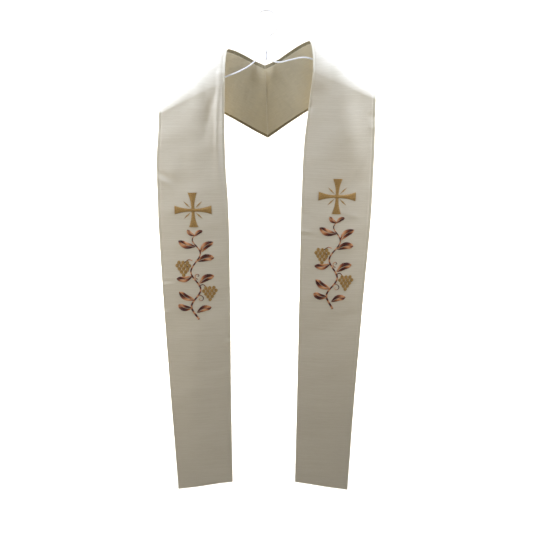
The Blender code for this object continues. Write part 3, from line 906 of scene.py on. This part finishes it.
def on_band(side, flat):
    """From a motif's own flat x and y to along and across on the band."""
    across = 0.5 + side * flat[..., 0] / BAND_WIDTH
    drop = MOTIF_DROP[side] - flat[..., 1]
    hem = blend(HEM_DROP[side], across)
    return (hem - drop) / (hem - blend(SHOULDER[side].spring_drop, across)), across


def embroider(name, side, parts, material):
    """Lays each part's threads on the band as low arches over their padding: the height is the
    sine of the share along the thread, to the power 0.6. The dye is a sine wave along each part."""
    starts = np.concatenate([part[0] for part in parts])
    ends = np.concatenate([part[1] for part in parts])
    drift = []
    for number, part in enumerate(parts):
        count = len(part[2])
        turns = count * (STEM_DRIFT if count > LONG_PART else LEAF_DRIFT)
        drift.append(np.sin(part[2] * turns + number * PART_DRIFT))
    dye = 0.5 + 0.5 * np.concatenate(drift)
    share = np.linspace(0, 1, THREAD_STEPS)[:, None]
    flat = starts[:, None] * (1 - share) + ends[:, None] * share
    along, across = on_band(side, flat)
    points, outward, _ = cloth(side, along, across)
    length = np.linalg.norm(ends - starts, axis=1)[:, None]
    arch = np.sin(np.pi * share[:, 0]) ** 0.6 * np.minimum(PADDING, length * ARCH_SHARE)
    points = points + outward * (arch + THREAD_LIFT)[..., None]
    threads = rods(points, outward, THREAD_WIDE, THREAD_HIGH, THREAD_SIDES, THREAD_TAPER)
    obj = rod_object(name, material, threads)
    tones = np.repeat(dye, THREAD_STEPS * THREAD_SIDES).astype(np.float32)
    obj.data.attributes.new("dye", "FLOAT", "POINT").data.foreach_set("value", tones)
    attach(obj, "root")
    return obj


for side in (LEFT, RIGHT):
    embroider(f"gold_work_{NAMES[side]}", side, gold_parts, gold_thread)
    embroider(f"copper_work_{NAMES[side]}", side, copper_parts, copper_thread)


# The hand sewing. Small slanted slip stitches hold each lining's edge to the turned face
# cloth, and short stitches close the centre back seam. Ivory cotton, 0.44 mm thick, matt and
# slightly fluffy. Each stitch comes out of the lining and goes back in, in a low arch.
STITCH_SPACING = 0.0065
STITCH_RADIUS = 0.00022
STITCH_STEPS, STITCH_SIDES, STITCH_TAPER = 6, 4, 0.6
# A slip stitch starts this far outside the lining's edge and slants in. Its ends are this deep in
# the lining, and its arch is this high from there.
STITCH_OUTSIDE, STITCH_SLANT = 0.0010, 0.0022
STITCH_DEPTH, STITCH_ARCH = 0.0012, 0.0014
SEAM_STITCH_SPACING = 0.0042
SEAM_STITCH_DEPTH, SEAM_STITCH_ARCH = 0.0006, 0.0009
# Where the seam's stitches start and how far they go, in along and across.
SEAM_STITCH_START, SEAM_STITCH_AHEAD, SEAM_STITCH_LEAN = 2.975, 0.02, 0.010
# Rough lengths of cloth that one unit of along covers, in front and from the bend to the seam,
# and how far ahead a stitch goes there, in those units.
FRONT_LENGTH, BEND_LENGTH = 1.08, 0.12
FRONT_STITCH, BEND_STITCH = 0.0012, 0.012
LINING_FLOOR = FACE_WALL + SEAM_GAP + LINING_WALL
cotton, tree = new_material("ivory sewing cotton")
fluff = mix_colours(tree, fine_noise(tree, 900.0, 1.0), linear("#CFC4A6"), linear("#EFE8D6"))
add_surface(tree, {"Base Color": fluff, "Roughness": 0.75})


def stitch_rods(points, outward):
    """Thin rods along the stitches, thinning to their ends."""
    return rods(points, -outward, STITCH_RADIUS, STITCH_RADIUS, STITCH_SIDES, STITCH_TAPER)


for side in (LEFT, RIGHT):
    along = np.concatenate(
        [
            np.arange(0.012, 1.0, STITCH_SPACING / FRONT_LENGTH),
            np.arange(1.0, 2.0, STITCH_SPACING / BEND_LENGTH),
            np.arange(2.0, 2.97, STITCH_SPACING / BEND_LENGTH),
        ]
    )
    share = np.linspace(0, 1, STITCH_STEPS)
    groups = []
    for edge, inwards in ((0.0, 1.0), (1.0, -1.0)):
        inset = LINING_INSET - STITCH_OUTSIDE + STITCH_SLANT * share
        across = edge + inwards * inset / BAND_WIDTH
        across, start = np.broadcast_arrays(across[None], along[:, None])
        ahead = start + share * np.where(start < 1, FRONT_STITCH, BEND_STITCH)
        sink = LINING_FLOOR - STITCH_DEPTH + STITCH_ARCH * np.sin(np.pi * share) ** 0.5
        points, outward, _ = cloth(side, ahead, across, sink[None])
        groups.append(stitch_rods(points, outward))
    seam_across = np.arange(0.06, 0.95, SEAM_STITCH_SPACING / BAND_WIDTH)
    across = seam_across[:, None] + SEAM_STITCH_LEAN * share
    start = np.full_like(across, SEAM_STITCH_START) + SEAM_STITCH_AHEAD * share
    sink = LINING_FLOOR - SEAM_STITCH_DEPTH + SEAM_STITCH_ARCH * np.sin(np.pi * share)
    points, outward, _ = cloth(side, start, across, sink[None])
    groups.append(stitch_rods(points, outward))
    sewing = rod_object(f"sewing_{NAMES[side]}", cotton, *groups)
    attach(sewing, "root")

# The centre back seam itself, pressed open: a thread outside and one inside fill the line between
# the two bands, halfway between their edges.
SEAM_THREAD_RADIUS = 0.0006
SEAM_THREAD_DEPTH = 0.0009
SEAM_THREAD_STEPS = 60
down_seam = np.linspace(0.006, 0.994, SEAM_THREAD_STEPS)
last = np.full(SEAM_THREAD_STEPS, 3.0)
seam_lines = []
for sink in (SEAM_THREAD_DEPTH, LINING_FLOOR):
    sides = [cloth(side, last, down_seam, sink)[0] for side in (LEFT, RIGHT)]
    seam_lines.append((sides[0] + sides[1]) / 2)
hint = np.broadcast_to((0.0, 1.0, 0.0), (2, SEAM_THREAD_STEPS, 3))
seam_rods = rods(np.array(seam_lines), hint, SEAM_THREAD_RADIUS, SEAM_THREAD_RADIUS, 8, 0.4)
seam = rod_object("centre_back_seam", cotton, seam_rods)
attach(seam, "root")


# A record for the cut of a piece: width and length of the cloth that it comes from, and its own
# area once its edges are turned and its end is mitred.
Cut = namedtuple("Cut", "width length area")


# The floor and the lights. A plain pale floor sweeps up behind. A small soft light above each
# shoulder rakes down the cloth, a tall one stands at each side in front, a faint one is over the
# middle, and a wide one with a grid lights the sweep alone.
floor_paint, tree = new_material("pale floor")
surface = {"Base Color": linear("#F4F4F2"), "Roughness": 0.9, "Specular IOR Level": 0.1}
add_surface(tree, surface)
FLOOR_DROP = 1.85
FLOOR_HALF_WIDTH, FLOOR_FRONT, FLOOR_BACK = 8.0, -6.0, 4.5
# Behind this line the floor rises as the square of the distance past it.
SWEEP_START, SWEEP_RISE = 2.5, 0.9
sweep_y = np.linspace(FLOOR_FRONT, FLOOR_BACK, 60)
sweep_z = -FLOOR_DROP + SWEEP_RISE * np.clip(sweep_y - SWEEP_START, 0.0, None) ** 2
sweep_x = np.linspace(-FLOOR_HALF_WIDTH, FLOOR_HALF_WIDTH, 9)
grid_x, grid_y = np.meshgrid(sweep_x, sweep_y, indexing="ij")
grid_z = np.broadcast_to(sweep_z, grid_x.shape)
index = np.arange(grid_x.size).reshape(grid_x.shape)
quads = np.stack([index[:-1, :-1], index[1:, :-1], index[1:, 1:], index[:-1, 1:]], -1)
floor_mesh = bpy.data.meshes.new("floor")
floor_points = np.stack([grid_x, grid_y, grid_z], -1).reshape(-1, 3)
floor_mesh.from_pydata(floor_points.tolist(), [], quads.reshape(-1, 4).tolist())
floor_mesh.shade_smooth()
floor_mesh.materials.append(floor_paint)
floor = bpy.data.objects.new("floor", floor_mesh)
bpy.context.scene.collection.objects.link(floor)

NEUTRAL, COOL, WARM = (1.0, 0.97, 0.93), (0.69, 0.78, 1.0), (1.0, 0.95, 0.89)
Light = namedtuple("Light", "name place aim wide high power spread colour")
LIGHTS = (
    Light("up_left", (-0.46, -0.12, 0.16), (-0.17, -0.03, -0.2), 0.25, 0.25, 4.0, 180, COOL),
    Light("up_right", (0.56, -0.11, 0.26), (0.17, -0.03, -0.2), 0.3, 0.3, 6.6, 180, COOL),
    Light("side_left", (-0.82, -0.48, -0.4), (-0.16, -0.04, -0.5), 0.3, 1.3, 4.4, 180, NEUTRAL),
    Light("side_right", (0.82, -0.48, -0.25), (0.16, -0.04, -0.4), 0.3, 0.9, 3.6, 180, NEUTRAL),
    Light("front_top", (0.0, -0.5, 0.5), (0.0, 0.0, -0.15), 0.5, 0.5, 0.7, 180, COOL),
    Light("on_sweep", (0.0, 2.3, 2.2), (0.0, 2.5, 0.0), 7.5, 3.0, 300, 80, WARM),
)
for light in LIGHTS:
    lamp = bpy.data.lights.new(light.name, "AREA")
    lamp.shape = "RECTANGLE"
    lamp.size, lamp.size_y = light.wide, light.high
    lamp.energy = light.power
    lamp.spread = np.radians(light.spread)
    lamp.color = light.colour
    lamp_object = bpy.data.objects.new(light.name, lamp)
    lamp_object.location = light.place
    beam = Vector(light.aim) - Vector(light.place)
    lamp_object.rotation_euler = beam.to_track_quat("-Z", "Y").to_euler()
    lamp_object.visible_camera = False
    bpy.context.scene.collection.objects.link(lamp_object)

# The room gives a faint warm light from all round.
ROOM_COLOUR, ROOM_STRENGTH = (1.0, 0.84, 0.66, 1.0), 0.06
world = bpy.data.worlds.new("studio")
world.use_nodes = True
background = world.node_tree.nodes["Background"]
background.inputs["Color"].default_value = ROOM_COLOUR
background.inputs["Strength"].default_value = ROOM_STRENGTH
bpy.context.scene.world = world
bpy.context.scene.view_settings.view_transform = "Standard"
